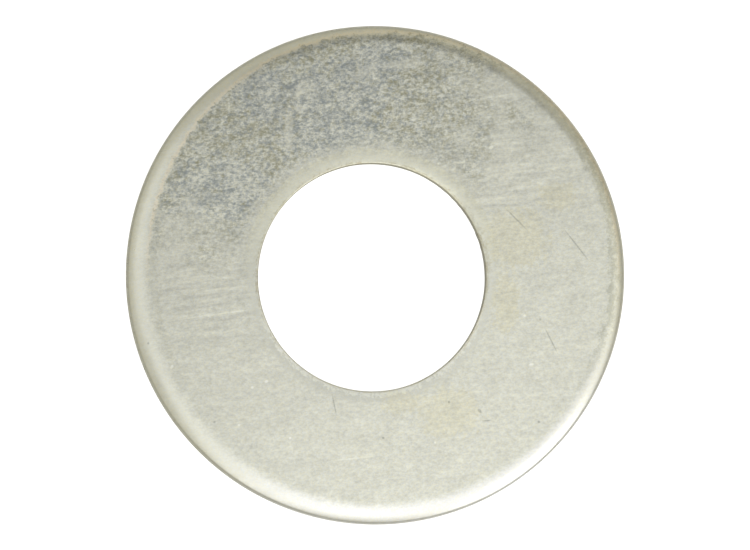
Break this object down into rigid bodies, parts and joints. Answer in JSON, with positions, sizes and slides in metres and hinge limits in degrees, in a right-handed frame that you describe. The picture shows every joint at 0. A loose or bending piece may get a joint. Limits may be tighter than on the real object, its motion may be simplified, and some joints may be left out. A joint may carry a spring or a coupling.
{
  "type": "flat washer",
  "caption": "Round flat washer stamped from zinc-plated sheet steel, with drawn-down edges on its top face, to spread a bolt head's load.",
  "frame": {"origin": "where the bore's axis meets the bottom face", "axes": "+Z along the bore's axis, from the bottom face, where both edges broke away and were bevelled, to the top face, where both edges are drawn down; X and Y lie in the faces, with the rolling lines close to X"},
  "size_m": [0.0159, 0.0159, 0.0016],
  "materials": {
    "zinc_plated_steel": "satin zinc plating over rolled sheet, pale warm grey with faint rolling lines"
  },
  "bodies": {
    "root": {"washer": "zinc_plated_steel"}
  },
  "joints": []
}
